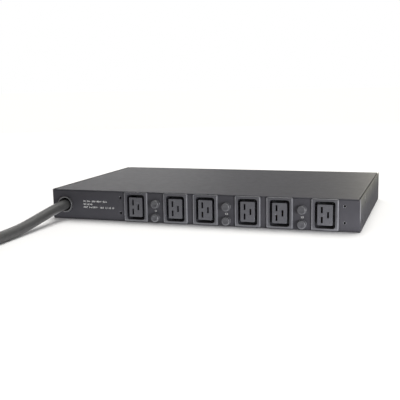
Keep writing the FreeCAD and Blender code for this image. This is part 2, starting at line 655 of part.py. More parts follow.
def terminal_screws():
    top = SHEET + BLOCK_HEIGHT
    return [rod(TERMINAL_RADIUS, Vector(x, y, top), TERMINAL_HEIGHT, ALONG_Z)
            for x in POLE_PLACES for y in (BLOCK_FRONT + TERMINAL_INSET, BLOCK_BACK - TERMINAL_INSET)]


def cord_cores():
    """The five cores, fanned out from the end of the sheath to the terminal block."""
    spread = CORD_RADIUS - SHEATH_WALL - CORE_RADIUS
    cores = []
    for x, degrees in zip(POLE_PLACES, CORE_ANGLES):
        angle = math.radians(degrees)
        start = Vector(GLAND.x + spread * math.cos(angle), SHEATH_END, GLAND.z + spread * math.sin(angle))
        end = Vector(x, BLOCK_FRONT, WIRE_HEIGHT)
        cores.append(tube([start, start + ALONG_Y * CORE_STUB, end - ALONG_Y * CORE_STUB, end], CORE_RADIUS))
    return cores


# Cord, bushing and coil.
def cord_bushing():
    """Flanged bushing with a bell mouth, held in the panel by a locknut."""
    front = FRONT - BUSHING_PROUD
    bore = CORD_RADIUS + CORD_FIT
    bushing = turned([
        (BUSHING_RADIUS - BUSHING_LIP, front), (BUSHING_RADIUS, front), (BUSHING_RADIUS, FRONT),
        (BUSHING_BARREL, FRONT), (BUSHING_BARREL, FRONT + BUSHING_LENGTH), (bore, FRONT + BUSHING_LENGTH),
        (bore, FRONT + BUSHING_THROAT),
    ], GLAND.x, GLAND.z)
    return bushing.makeFillet(BUSHING_EDGE, edges_at_depth(bushing, front))


def bushing_nut():
    start = Vector(GLAND.x, PANEL_BACK, GLAND.z)
    nut = hexagon(LOCKNUT_FLATS, LOCKNUT_HEIGHT, start, ALONG_Y)
    return nut.cut(rod(BUSHING_BARREL + BUSHING_FIT, start, LOCKNUT_HEIGHT))


def coil_section(low, high, growth):
    """Upright cut through stacked turns: a slot shape between two turns' middles."""
    radius = CORD_RADIUS + growth
    x = COIL_CENTER.x + COIL_RADIUS
    y = COIL_CENTER.y
    left = Vector(x - radius, y, low)
    right = Vector(x + radius, y, low)
    rise = ALONG_Z * (high - low)
    edges = [
        Part.Arc(left, Vector(x, y, low - radius), right).toShape(),
        Part.LineSegment(right, right + rise).toShape(),
        Part.Arc(right + rise, Vector(x, y, high + radius), left + rise).toShape(),
        Part.LineSegment(left + rise, left).toShape(),
    ]
    return Part.Wire(edges)


def coil_sweep(face, degrees):
    return face.revolve(COIL_CENTER, ALONG_Z, degrees)


def cord_coil():
    stack = coil_sweep(Part.Face(coil_section(COIL_FLOOR, COIL_UPPER, 0)), 360)
    last_half = coil_sweep(Part.Face(coil_section(COIL_FLOOR, COIL_TOP, 0)), -180)
    return stack.fuse(last_half).removeSplitter()


def coil_tie():
    """Strap round both turns, on the side away from the last half turn."""
    outside = Part.Face(coil_section(COIL_FLOOR, COIL_UPPER, TIE_FIT + TIE_SHEET))
    inside = Part.Face(coil_section(COIL_FLOOR, COIL_UPPER, TIE_FIT))
    strap = coil_sweep(outside, TIE_SWEEP).cut(coil_sweep(inside, TIE_SWEEP))
    strap.rotate(COIL_CENTER, ALONG_Z, 90 - TIE_SWEEP / 2)
    return strap


# Plug.
def plug_clamp_nut():
    bore = CORD_RADIUS + CORD_FIT
    nut = turned([
        (bore, PLUG_BACK), (PLUG_NUT_RADIUS - FLUTE_RADIUS, PLUG_BACK),
        (PLUG_NUT_RADIUS, PLUG_BACK + PLUG_NUT_TAPER), (PLUG_NUT_RADIUS, HANDLE_BACK), (bore, HANDLE_BACK),
    ], PLUG_X, PLUG_Z)
    flutes = []
    for i in range(PLUG_NUT_FLUTES):
        angle = 2 * math.pi * i / PLUG_NUT_FLUTES
        x = PLUG_X + PLUG_NUT_RADIUS * math.cos(angle)
        z = PLUG_Z + PLUG_NUT_RADIUS * math.sin(angle)
        flutes.append(rod(FLUTE_RADIUS, Vector(x, PLUG_BACK, z), PLUG_NUT_LENGTH))
    return nut.cut(flutes)


def plug_handle():
    """Hollow grip that widens from the cord to the collar."""
    taper_end = HANDLE_BACK + HANDLE_TAPER
    bore = CORD_RADIUS + CORD_FIT
    cavity = HANDLE_BACK + HANDLE_WALL
    inner = HANDLE_FRONT_RADIUS - HANDLE_WALL
    return turned([
        (bore, HANDLE_BACK), (HANDLE_BACK_RADIUS, HANDLE_BACK), (HANDLE_FRONT_RADIUS, taper_end),
        (HANDLE_FRONT_RADIUS, SLEEVE_BACK), (inner, SLEEVE_BACK), (inner, taper_end),
        (HANDLE_BACK_RADIUS - HANDLE_WALL, cavity), (bore, cavity),
    ], PLUG_X, PLUG_Z)


def plug_shroud():
    """Collar and sleeve round the pins, with the ridge that sets which way the plug goes in."""
    inner = SLEEVE_RADIUS - SLEEVE_WALL
    shroud = turned([
        (inner, SLEEVE_BACK), (COLLAR_RADIUS, SLEEVE_BACK), (COLLAR_RADIUS, SLEEVE_BACK + COLLAR_LENGTH),
        (SLEEVE_RADIUS, SLEEVE_BACK + COLLAR_LENGTH), (SLEEVE_RADIUS, SLEEVE_FRONT), (inner, SLEEVE_FRONT),
    ], PLUG_X, PLUG_Z)
    ridge = box(PLUG_X - KEY_WIDTH / 2, PLUG_X + KEY_WIDTH / 2, SLEEVE_BACK + COLLAR_LENGTH, SLEEVE_FRONT,
                PLUG_Z + inner + SLEEVE_WALL / 2, PLUG_Z + SLEEVE_RADIUS + KEY_HEIGHT)
    return shroud.fuse(ridge).removeSplitter()


def plug_insert():
    radius = SLEEVE_RADIUS - SLEEVE_WALL - INSERT_FIT
    return rod(radius, Vector(PLUG_X, SLEEVE_BACK, PLUG_Z), INSERT_LENGTH)


def plug_pins():
    pins = []
    for i in range(PIN_COUNT):
        angle = math.radians(-90 + 360 * i / PIN_COUNT)
        radius = EARTH_PIN_RADIUS if i == 0 else PIN_RADIUS
        x = PLUG_X + PIN_CIRCLE * math.cos(angle)
        z = PLUG_Z + PIN_CIRCLE * math.sin(angle)
        pin = rod(radius, Vector(x, INSERT_FRONT, z), PIN_LENGTH)
        pins.append(pin.makeFillet(PIN_TIP, edges_at_depth(pin, INSERT_FRONT + PIN_LENGTH)))
    return pins


# Files, one for each piece or group of like pieces.
os.makedirs("parts", exist_ok=True)

save("chassis_base", chassis_base())
save("top_cover", top_cover())
save("cover_screws", *[cover_screw(side, y) for side in (-1, 1) for y in SCREW_PLACES])
front_nuts = [clinch_nut(place, ALONG_Y) for place in bracket_places()]
side_nuts = [clinch_nut(place, ALONG_X * -side) for side in (-1, 1) for place in ear_places(side)]
save("clinch_nuts", *front_nuts, *side_nuts)

contacts = [contact_places(x) for x in SOCKET_CENTERS]
for number, x in enumerate(SOCKET_CENTERS, 1):
    save("socket_housing_" + str(number), socket_housing(x))
    save("socket_contacts_" + str(number), *[contact_clip(place) for place in contacts[number - 1]])

tabs = []
for group, x in enumerate(GROUP_CENTERS, 1):
    for level, bottom, tab_height in zip(("lower", "upper"), BREAKER_BOTTOMS, TAB_HEIGHTS):
        name = level + "_" + str(group)
        save("breaker_body_" + name, breaker_body(x, bottom))
        save("breaker_nut_" + name, breaker_nut(x, bottom))
        save("breaker_button_" + name, breaker_button(x, bottom))
        tabs += [breaker_tab(x + side * TAB_OFFSET, tab_height) for side in (-1, 1)]
    save("phase_wires_" + str(group), *phase_wires(group - 1))
save("breaker_tabs", *tabs)
save("phase_links", *[phase_link(x) for x in GROUP_CENTERS])

neutral_height = contacts[0][1].z
earth_height = contacts[0][2].z
save("neutral_bar", bus_bar(neutral_height))
save("earth_bar", bus_bar(earth_height))
save("neutral_wire", bar_feed(POLE_COUNT - 2, neutral_height))
save("earth_wires", bar_feed(POLE_COUNT - 1, earth_height), stud_wire(earth_height), stud_lug())
save("earth_stud", rod(STUD_RADIUS, STUD_PLACE, STUD_HEIGHT, ALONG_Z))
save("earth_nut", stud_nut())
save("terminal_block", terminal_block())
save("terminal_screws", *terminal_screws())

coil = cord_coil()
lead = tube(LEAD_ROUTE, CORD_RADIUS)
tail = tube(TAIL_ROUTE, CORD_RADIUS)
report_tube("cord_lead", LEAD_ROUTE, CORD_RADIUS, lead)
report_tube("cord_tail", TAIL_ROUTE, CORD_RADIUS, tail)
save("cord_bushing", cord_bushing())
save("bushing_nut", bushing_nut())
save("cord_cores", *cord_cores())
save("cord_lead", lead.cut(coil))
save("cord_coil", coil)
save("cord_tail", tail.cut(coil))
save("coil_tie", coil_tie())

save("plug_clamp_nut", plug_clamp_nut())
save("plug_handle", plug_handle())
save("plug_shroud", plug_shroud())
save("plug_insert", plug_insert())
save("plug_pins", *plug_pins())
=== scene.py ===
import json
import math

import bpy
from mathutils import Matrix, Vector


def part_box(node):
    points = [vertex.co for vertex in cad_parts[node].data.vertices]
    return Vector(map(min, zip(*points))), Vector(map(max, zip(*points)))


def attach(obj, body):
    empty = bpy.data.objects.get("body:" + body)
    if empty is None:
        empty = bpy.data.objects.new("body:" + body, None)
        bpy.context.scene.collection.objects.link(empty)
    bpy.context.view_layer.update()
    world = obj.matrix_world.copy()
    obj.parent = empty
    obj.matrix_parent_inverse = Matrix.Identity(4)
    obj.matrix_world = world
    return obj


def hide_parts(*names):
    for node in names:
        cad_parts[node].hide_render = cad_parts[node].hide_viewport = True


# Rack power distribution unit. Metres, +Z up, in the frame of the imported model.
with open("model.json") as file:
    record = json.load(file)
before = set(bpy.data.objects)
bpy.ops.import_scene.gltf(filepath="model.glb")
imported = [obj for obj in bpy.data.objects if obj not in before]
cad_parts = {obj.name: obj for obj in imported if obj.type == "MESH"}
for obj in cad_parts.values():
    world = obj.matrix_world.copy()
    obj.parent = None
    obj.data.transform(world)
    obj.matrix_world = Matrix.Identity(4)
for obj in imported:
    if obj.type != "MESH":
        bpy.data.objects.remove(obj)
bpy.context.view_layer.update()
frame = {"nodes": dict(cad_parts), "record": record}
nodes = frame["nodes"]
scene = bpy.context.scene
scene.view_settings.view_transform = "Standard"


def middle_of(node):
    """X, Y and Z of the middle of a node's box, to a thousandth of a millimetre."""
    low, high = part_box(node)
    return [round((first + last) / 2, 6) for first, last in zip(low, high)]


# Camera, fitted to the corners of the case in the picture.
PICTURE_SIDE = 400
FOCAL_PIXELS = 701.79
SENSOR_WIDTH = 36.0
CAMERA_PLACE = Vector((0.31296, -1.03025, 0.19410))
CAMERA_YAW = math.radians(18.894)
CAMERA_PITCH = math.radians(9.552)
CAMERA_ROLL = math.radians(-1.11)

# Case: a painted sheen in a strip below the sides' upper edges, and a painted highlight on the corners at the
# front.
CASE_LOW, CASE_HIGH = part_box("chassis_base")
PANEL = CASE_LOW.y
CORNER_ROUND = 0.0016
CORNER_FADE = (0.010, 0.020)  # the painted highlight starts at the first height and is full above the second
SHEEN_STRIP = 0.024
SIDE_FADE = (CASE_HIGH.z - SHEEN_STRIP, CASE_HIGH.z)

# Sockets: the edges of the flanges, with painted highlights and painted light from below, and the island in
# each mouth.
SOCKET_BOXES = [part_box(f"socket_housing_{number}") for number in range(1, 7)]
SOCKET_LEFTS = [low.x for low, high in SOCKET_BOXES]
SOCKET_RIGHTS = [high.x for low, high in SOCKET_BOXES]
SOCKET_CENTERS = [(left + right) / 2 for left, right in zip(SOCKET_LEFTS, SOCKET_RIGHTS)]
SOCKET_MIDDLE = middle_of("socket_housing_1")[2]
ISLAND_HALF_WIDTH = 0.0101
ISLAND_HALF_HEIGHT = 0.0139
FLANGE_RIM_HIGHLIGHT = (0.0018, 0.0006)  # distances from the edge where the painted highlight starts and where it is full
FLANGE_FOOT_LIGHT = (0.0050, 0.0035)  # the painted light from below starts at the first height and is full below the second

# Rings of painted highlight: each starts at the first radius, is full from the second to the third, and ends
# at the fourth.
BUSHING_X, _, BUSHING_Z = middle_of("cord_bushing")
BUSHING_AXES = ([BUSHING_X], [BUSHING_Z])
BUSHING_LIP = (0.0098, 0.0101, 0.0106, 0.0112)
BREAKER_GROUPS = (1, 2, 3)
BREAKER_AXES = (
    [middle_of(f"breaker_nut_lower_{number}")[0] for number in BREAKER_GROUPS],
    [middle_of(f"breaker_nut_{level}_1")[2] for level in ("lower", "upper")],
)
BUTTON_RIM = (0.0042, 0.0050, 0.0080, 0.0090)

# Supply cord: the route's corners, and the coil between its two stretches.
CORD_DIAMETER = 0.0145
CORD_LYING = CORD_DIAMETER / 2
LEAD_ROUTE = [
    (BUSHING_X, -0.1090, BUSHING_Z), (BUSHING_X, -0.1500, BUSHING_Z), (-0.2012, -0.2030, 0.0148),
    (-0.2020, -0.2580, CORD_LYING), (-0.2012, -0.3280, CORD_LYING),
]
TAIL_ROUTE = [(-0.379, -0.345, 0.03495), (-0.377, -0.298, 0.033), (-0.377, -0.251, 0.033)]
COIL_CENTER = Vector((-0.290, -0.395))
COIL_RADIUS = 0.087
COIL_FLOOR = 0.00845  # height of the cord's middle in the lowest turn
COIL_TURNS = 2.5
POINTS_PER_TURN = 24
CLIMB_START = 11 / 15  # share of a turn where the cord starts to climb onto the turn below
CLIMB_END = 14 / 15
CORD_ORDER = 3  # of the curve that rounds off the route's corners
CORD_STEPS = 6  # smoothness of the curve, along and around

# Printing on the panel.
PRINT_THICKNESS = 0.00004
CAPITAL_SHARE = 0.72  # height of a capital, as a share of the font's size
MARK_HEIGHT = 0.0026
LABEL_LEFT = -0.1722
LABEL_TOP = 0.0284
LABEL_HEIGHT = 0.0024
LABEL_PITCH = 0.0043
LABEL_LINES = ("IN  3N~  230 / 400 V  32 A", "50 / 60 Hz", "OUT  6 x 230 V~  16 A   L1  L2  L3")

# Materials: what their nodes and finishes share.
NOISE_RANGE = (0.3, 0.7)  # where most of a noise's values lie
MIX_COLOURS = (6, 7)  # places of the mix node's colour inputs
MIX_RESULT = 2  # place of its colour output
PLAIN_VARIATION = 0.12
PLAIN_BLOT = 0.02
PLAIN_GLOSS = 0.5
ROUGH_BLOT_PART = 3  # a blot of colour is this many blots of roughness wide
PAINT_VARIATION = 0.05
FACE_VARIATION = 0.12
ISLAND_VARIATION = 0.3
SOCKET_BLOT = 0.006
SPECKLE_DETAIL = 2.0
THREAD_SHARES = (0.6, 1.6)  # darkest and lightest thread, as shares of the colour
THREAD_WANDER = 0.6
STRAP_BLOT = 0.004
STRAP_SHEEN = 0.3

# Stage: floor, light of the surroundings, and lamps.
FLOOR_SIDE = 30.0
FLOOR_DROP = 0.0002
FLOOR_TONE = 0.92
FLOOR_GLOW = 0.02
FLOOR_ROUGHNESS = 0.9
WORLD_LIGHT = 0.36
WARM = (1.0, 0.99, 0.965)
COOL = (0.96, 0.96, 1.0)
GOLDEN = (1.0, 0.96, 0.80)
KEY_DIRECTION = (0.14, 0.56, 1.2)
KEY_STRENGTH = 2.5
KEY_SPREAD = 44


# Camera.
def make_camera():
    back = Vector((
        math.sin(CAMERA_YAW) * math.cos(CAMERA_PITCH),
        -math.cos(CAMERA_YAW) * math.cos(CAMERA_PITCH),
        math.sin(CAMERA_PITCH),
    ))
    right = Vector((math.cos(CAMERA_YAW), math.sin(CAMERA_YAW), 0.0))
    up = back.cross(right)
    rolled_right = right * math.cos(CAMERA_ROLL) + up * math.sin(CAMERA_ROLL)
    rolled_up = up * math.cos(CAMERA_ROLL) - right * math.sin(CAMERA_ROLL)
    data = bpy.data.cameras.new("camera")
    data.sensor_width = SENSOR_WIDTH
    data.lens = FOCAL_PIXELS / PICTURE_SIDE * SENSOR_WIDTH
    camera = bpy.data.objects.new("camera", data)
    axes = Matrix((rolled_right, rolled_up, back)).transposed()
    camera.matrix_world = Matrix.Translation(CAMERA_PLACE) @ axes.to_4x4()
    scene.collection.objects.link(camera)
    scene.camera = camera


# Nodes that the materials are made of.
def object_place(tree):
    """The place on the object, which is in the frame's metres."""
    return tree.nodes.new("ShaderNodeTexCoord").outputs["Object"]


def coordinates(tree):
    """The X, Y and Z outputs of the place on the object."""
    split = tree.nodes.new("ShaderNodeSeparateXYZ")
    tree.links.new(object_place(tree), split.inputs["Vector"])
    return split.outputs


def noise(tree, size, detail=3.0):
    """Noise whose blots are about size metres wide."""
    texture = tree.nodes.new("ShaderNodeTexNoise")
    texture.inputs["Scale"].default_value = 1 / size
    texture.inputs["Detail"].default_value = detail
    tree.links.new(object_place(tree), texture.inputs["Vector"])
    return texture.outputs["Fac"]


def wave(tree, direction, size, distortion=0.0):
    """Bands along a direction. Their width grows with size, in metres, and is a part of it."""
    texture = tree.nodes.new("ShaderNodeTexWave")
    texture.bands_direction = direction
    texture.inputs["Scale"].default_value = 1 / size
    texture.inputs["Distortion"].default_value = distortion
    tree.links.new(object_place(tree), texture.inputs["Vector"])
    return texture.outputs["Fac"]


def math_node(tree, operation, *sources):
    """Result of an operation on numbers and other nodes' outputs."""
    node = tree.nodes.new("ShaderNodeMath")
    node.operation = operation
    for socket, source in zip(node.inputs, sources):
        if isinstance(source, float):
            socket.default_value = source
        else:
            tree.links.new(source, socket)
    return node.outputs["Value"]


def map_range(tree, source, low, high, first=0.0, last=1.0, change="LINEAR"):
    """Maps the values from low to high to those from first to last, and stays within these."""
    step = tree.nodes.new("ShaderNodeMapRange")
    step.interpolation_type = change
    for name, value in (("From Min", low), ("From Max", high), ("To Min", first), ("To Max", last)):
        step.inputs[name].default_value = value
    tree.links.new(source, step.inputs["Value"])
    return step.outputs["Result"]


def between(tree, source, low, high):
    """Maps the middle of a noise's range to the values from low to high."""
    return map_range(tree, source, *NOISE_RANGE, low, high)


def ramp(tree, source, low, high):
    """Nought on low's side and one on high's side, with a soft change between."""
    return map_range(tree, source, low, high, change="SMOOTHSTEP")


def from_nearest(tree, source, places):
    """Distance of a coordinate from the nearest of some places, a metre at most."""
    least = 1.0
    for place in places:
        distance = math_node(tree, "ABSOLUTE", math_node(tree, "SUBTRACT", source, place))
        least = math_node(tree, "MINIMUM", distance, least)
    return least


def mixed(tree, factor, first, second):
    """Colour between two colours, each a tuple or another node's output."""
    mix = tree.nodes.new("ShaderNodeMix")
    mix.data_type = "RGBA"
    tree.links.new(factor, mix.inputs["Factor"])
    for place, colour in zip(MIX_COLOURS, (first, second)):
        if isinstance(colour, tuple):
            mix.inputs[place].default_value = (*colour, 1.0)
        else:
            tree.links.new(colour, mix.inputs[place])
    return mix.outputs[MIX_RESULT]


def shaded(colour, share):
    return tuple(min(1.0, channel * share) for channel in colour)


def mottled(tree, blots, colour, variation):
    """Colour that blots make darker and lighter by a share of itself."""
    return mixed(tree, blots, shaded(colour, 1 - variation), shaded(colour, 1 + variation))


# Finishes: each has a colour that varies a little, a roughness that varies, and a fine grain or threads.
def new_material(name):
    material = bpy.data.materials.new(name)
    material.use_nodes = True
    return material, material.node_tree, material.node_tree.nodes["Principled BSDF"]


def dress_shader(tree, shader, tones, roughness, blot, height, depth):
    """Sets a shader's colour, its roughness over a range in blots, and its bumps of the given depth."""
    tree.links.new(tones, shader.inputs["Base Color"])
    tree.links.new(between(tree, noise(tree, blot), *roughness), shader.inputs["Roughness"])
    bump = tree.nodes.new("ShaderNodeBump")
    bump.inputs["Distance"].default_value = depth
    tree.links.new(height, bump.inputs["Height"])
    tree.links.new(bump.outputs["Normal"], shader.inputs["Normal"])


def overlay(material, mask, colour):
    """Mixes a second colour into a finish where the mask is one."""
    tree = material.node_tree
    shader = tree.nodes["Principled BSDF"]
    base = shader.inputs["Base Color"].links[0].from_socket
    tree.links.new(mixed(tree, mask, base, colour), shader.inputs["Base Color"])


def plain_finish(name, colour, roughness, grain, depth, metallic=0.0, variation=PLAIN_VARIATION,
                 blot=PLAIN_BLOT, gloss=PLAIN_GLOSS):
    """Finish with mottled colour, roughness over a range, and a grain of the given size and depth."""
    material, tree, shader = new_material(name)
    shader.inputs["Metallic"].default_value = metallic
    shader.inputs["Specular IOR Level"].default_value = gloss
    tones = mottled(tree, between(tree, noise(tree, blot), 0.0, 1.0), colour, variation)
    dress_shader(tree, shader, tones, roughness, blot / ROUGH_BLOT_PART, noise(tree, grain), depth)
    return material


def metal_finish(name, colour, roughness, grain, depth):
    return plain_finish(name, colour, roughness, grain, depth, metallic=1.0)


def striped_finish(name, colour, second, stripe, roughness, grain, depth):
    """Insulation with slanting stripes of a second colour."""
    material = plain_finish(name, colour, roughness, grain, depth)
    tree = material.node_tree
    overlay(material, between(tree, wave(tree, "DIAGONAL", stripe), 0.0, 1.0), second)
    return material


def corner_finish(name, colour, painted_sheen, painted_highlight, roughness, grain, depth, gloss):
    """Paint with a painted sheen towards the sides' upper edges and a painted highlight high on the front
    corners.
    """
    material = plain_finish(name, colour, roughness, grain, depth, variation=PAINT_VARIATION, gloss=gloss)
    tree = material.node_tree
    place = coordinates(tree)
    outward = math_node(tree, "ABSOLUTE", place["X"])
    forward = math_node(tree, "MULTIPLY", place["Y"], -1.0)
    beside = ramp(tree, outward, CASE_HIGH.x - CORNER_ROUND, CASE_HIGH.x - CORNER_ROUND / 2)
    ahead = ramp(tree, forward, -PANEL - CORNER_ROUND, -PANEL)
    # Painted sheen: lighter paint in a strip below the sides' upper edges.
    overlay(material, math_node(tree, "MULTIPLY", beside, ramp(tree, place["Z"], *SIDE_FADE)), painted_sheen)
    # Painted highlight on the front corner bends, fading towards the bottom.
    corner = math_node(tree, "MULTIPLY", beside, ahead)
    overlay(material, math_node(tree, "MULTIPLY", corner, ramp(tree, place["Z"], *CORNER_FADE)), painted_highlight)
    return material


def ringed_finish(name, colour, painted_highlight, axes, ring, roughness, grain, depth):
    """Round mouldings about axes along Y, each with a painted highlight in a ring."""
    material = plain_finish(name, colour, roughness, grain, depth)
    tree = material.node_tree
    place = coordinates(tree)
    across = math_node(tree, "POWER", from_nearest(tree, place["X"], axes[0]), 2.0)
    upward = math_node(tree, "POWER", from_nearest(tree, place["Z"], axes[1]), 2.0)
    radius = math_node(tree, "SQRT", math_node(tree, "ADD", across, upward))
    start, full, fading, end = ring
    band = math_node(tree, "MULTIPLY", ramp(tree, radius, start, full), ramp(tree, radius, end, fading))
    # Painted highlight: the ring is lighter in colour.
    overlay(material, band, painted_highlight)
    return material


def island_mask(tree, place):
    """One on the islands in the sockets' mouths, and nought elsewhere."""
    aside = from_nearest(tree, place["X"], SOCKET_CENTERS)
    above = from_nearest(tree, place["Z"], [SOCKET_MIDDLE])
    within_width = math_node(tree, "LESS_THAN", aside, ISLAND_HALF_WIDTH)
    within_height = math_node(tree, "LESS_THAN", above, ISLAND_HALF_HEIGHT)
    return math_node(tree, "MULTIPLY", within_width, within_height)


def socket_finish(name, face, island, painted_foot_light, left_rim_highlight, right_rim_highlight, roughness, grain, depth):
    """Moulding with a lighter island in each mouth, and flanges with painted light from below on the foot and
    painted highlights on the side rims.
    """
    material, tree, shader = new_material(name)
    place = coordinates(tree)
    speckle = between(tree, noise(tree, grain, SPECKLE_DETAIL), 0.0, 1.0)
    face_tones = mottled(tree, speckle, face, FACE_VARIATION)
    island_tones = mottled(tree, speckle, island, ISLAND_VARIATION)
    tones = mixed(tree, island_mask(tree, place), face_tones, island_tones)
    dress_shader(tree, shader, tones, roughness, SOCKET_BLOT, noise(tree, grain), depth)
    # Painted light from below on the flanges' feet, and painted highlights on their side rims, the left ones
    # lighter.
    overlay(material, ramp(tree, place["Z"], *FLANGE_FOOT_LIGHT), painted_foot_light)
    for edges, highlight_tone in ((SOCKET_LEFTS, left_rim_highlight), (SOCKET_RIGHTS, right_rim_highlight)):
        inward = from_nearest(tree, place["X"], edges)
        overlay(material, ramp(tree, inward, *FLANGE_RIM_HIGHLIGHT), highlight_tone)
    return material


def woven_finish(name, colour, thread, roughness, depth):
    """Woven strap: two crossed waves make the threads."""
    material, tree, shader = new_material(name)
    shader.inputs["Sheen Weight"].default_value = STRAP_SHEEN
    crossed = [wave(tree, direction, thread, THREAD_WANDER) for direction in "XZ"]
    threads = math_node(tree, "MULTIPLY", *crossed)
    tones = mixed(tree, threads, *(shaded(colour, share) for share in THREAD_SHARES))
    dress_shader(tree, shader, tones, roughness, STRAP_BLOT, threads, depth)
    return material


# Materials by slot. Values without a word are colour, range of roughness, and the grain's size and depth.
def case_materials():
    """Painted sheet, its screws, and the printing."""
    return {
        # The case paint carries a painted sheen on the sides' upper strip and a painted highlight on the
        # front corners.
        "case_paint": corner_finish(
            "powder_coat", (0.050, 0.0491, 0.0543), painted_sheen=(0.10, 0.099, 0.088), painted_highlight=(0.17, 0.17, 0.175),
            roughness=(0.56, 0.62), grain=0.0007, depth=0.00002, gloss=0.025),
        "black_steel": plain_finish("black_screw", (0.02, 0.02, 0.021), (0.3, 0.4), 0.0005, 0.00001),
        "print": plain_finish("white_print", (0.70, 0.70, 0.68), (0.5, 0.65), 0.0003, 0.00001, blot=0.0015),
    }


def moulding_materials():
    """Sockets, breakers, buttons, terminal block and bushing."""
    return {
        # The socket moulding carries painted light on the flanges' feet and painted highlights on their rims.
        "socket_plastic": socket_finish(
            "socket_moulding", face=(0.038, 0.038, 0.044), island=(0.050, 0.050, 0.057),
            painted_foot_light=(0.062, 0.062, 0.068), left_rim_highlight=(0.30, 0.30, 0.32), right_rim_highlight=(0.12, 0.12, 0.13),
            roughness=(0.26, 0.34), grain=0.0009, depth=0.00002),
        "breaker_plastic": plain_finish(
            "breaker_moulding", (0.055, 0.055, 0.060), (0.20, 0.28), 0.0005, 0.000008),
        # The buttons and the bushing's lip carry a painted highlight in a ring.
        "button_plastic": ringed_finish(
            "button_moulding", (0.040, 0.040, 0.045), painted_highlight=(0.08, 0.08, 0.085), axes=BREAKER_AXES,
            ring=BUTTON_RIM, roughness=(0.18, 0.25), grain=0.0008, depth=0.000006),
        "terminal_plastic": plain_finish(
            "terminal_moulding", (0.05, 0.05, 0.052), (0.4, 0.55), 0.0006, 0.00002),
        "bushing_plastic": ringed_finish(
            "bushing_moulding", (0.05, 0.05, 0.052), painted_highlight=(0.15, 0.15, 0.152), axes=BUSHING_AXES,
            ring=BUSHING_LIP, roughness=(0.22, 0.32), grain=0.0007, depth=0.00001),
    }


def metal_materials():
    """Plated steel, strips, bars and pins."""
    return {
        "zinc_steel": metal_finish("zinc_plate", (0.52, 0.53, 0.55), (0.28, 0.45), 0.0006, 0.00001),
        "brass": metal_finish("brass_strip", (0.42, 0.33, 0.19), (0.3, 0.45), 0.0008, 0.00001),
        "copper": metal_finish("copper_bar", (0.70, 0.36, 0.22), (0.3, 0.45), 0.001, 0.00001),
        "pin_nickel": metal_finish("nickel_plate", (0.66, 0.63, 0.56), (0.16, 0.28), 0.0006, 0.000006),
    }


def wire_materials():
    """Insulation of the inner wires."""
    surface = {"roughness": (0.35, 0.5), "depth": 0.00001}
    colours = {
        "brown": (0.13, 0.055, 0.025), "black": (0.02, 0.02, 0.021),
        "grey": (0.22, 0.22, 0.225), "blue": (0.03, 0.12, 0.42),
    }
    wires = {
        f"wire_{tint}": plain_finish(f"{tint}_insulation", colour, grain=0.0012, **surface)
        for tint, colour in colours.items()
    }
    wires["wire_green"] = striped_finish(
        "green_insulation", (0.05, 0.30, 0.06), second=(0.75, 0.62, 0.05), stripe=0.02, grain=0.0008,
        **surface)
    return wires


def cord_materials():
    """Supply cord, its tie and its plug."""
    return {
        "cord_rubber": plain_finish(
            "cord_sheath", (0.044, 0.044, 0.043), (0.40, 0.50), 0.0012, 0.00003, blot=0.008, gloss=0.2),
        "tie_fabric": woven_finish(
            "woven_strap", (0.02, 0.02, 0.022), thread=0.004, roughness=(0.75, 0.9), depth=0.0003),
        "plug_black": plain_finish("plug_moulding", (0.025, 0.025, 0.027), (0.36, 0.5), 0.0006, 0.00003),
        "plug_red": plain_finish("red_moulding", (0.52, 0.020, 0.016), (0.28, 0.4), 0.0008, 0.00002),
    }


def make_materials():
    """One material for each of the record's slots, and one for the printing."""
    return {
        **case_materials(), **moulding_materials(), **metal_materials(),
        **wire_materials(), **cord_materials(),
    }


def dress_nodes(materials):
    for part in frame["record"]["subparts"]:
        piece = nodes[part["node"]]
        piece.data.materials.clear()
        piece.data.materials.append(materials[part["material_slot"]])


# Supply cord.
def climb(turns):
    """How many layers up the cord is after a number of turns: flat, with a climb late in each turn."""
    whole = math.floor(turns)
    share = (turns - whole - CLIMB_START) / (CLIMB_END - CLIMB_START)
    share = min(1.0, max(0.0, share))
    return whole + share * share * (3 - 2 * share)


def coil_points():
    """Control points of the coil, wound clockwise seen from above, from its right side to its left."""
    outside = COIL_RADIUS / math.cos(math.pi / POINTS_PER_TURN)
    points = []
    for i in range(round(COIL_TURNS * POINTS_PER_TURN) + 1):
        turns = i / POINTS_PER_TURN
        angle = -2 * math.pi * turns
        x = COIL_CENTER.x + outside * math.cos(angle)
        y = COIL_CENTER.y + outside * math.sin(angle)
        points.append((x, y, COIL_FLOOR + climb(turns) * CORD_DIAMETER))
    return points


def make_cord(material):
    points = LEAD_ROUTE + coil_points() + TAIL_ROUTE
    curve = bpy.data.curves.new("supply_cord", "CURVE")
    curve.dimensions = "3D"
    spline = curve.splines.new("NURBS")
    spline.points.add(len(points) - 1)
    for control, place in zip(spline.points, points):
        control.co = (*place, 1.0)
    spline.order_u = CORD_ORDER
    spline.use_endpoint_u = True
    spline.resolution_u = CORD_STEPS
    curve.bevel_depth = CORD_DIAMETER / 2
    curve.bevel_resolution = CORD_STEPS
    curve.materials.append(material)
    cord = bpy.data.objects.new("supply_cord", curve)
    scene.collection.objects.link(cord)
    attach(cord, "case")
    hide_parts("cord_lead", "cord_coil", "cord_tail")


# Printing.
def print_line(name, words, height, place, align, material):
    """Flat print on the front panel, with the middle or the left end of its top at place."""
    curve = bpy.data.curves.new(name, "FONT")
    curve.body = words
    curve.align_x = align
    curve.align_y = "TOP"
    curve.size = height / CAPITAL_SHARE
    curve.extrude = PRINT_THICKNESS / 2
    curve.materials.append(material)
    piece = bpy.data.objects.new(name, curve)
    piece.location = place
    piece.rotation_euler = (math.pi / 2, 0, 0)
    scene.collection.objects.link(piece)
    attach(piece, "case")


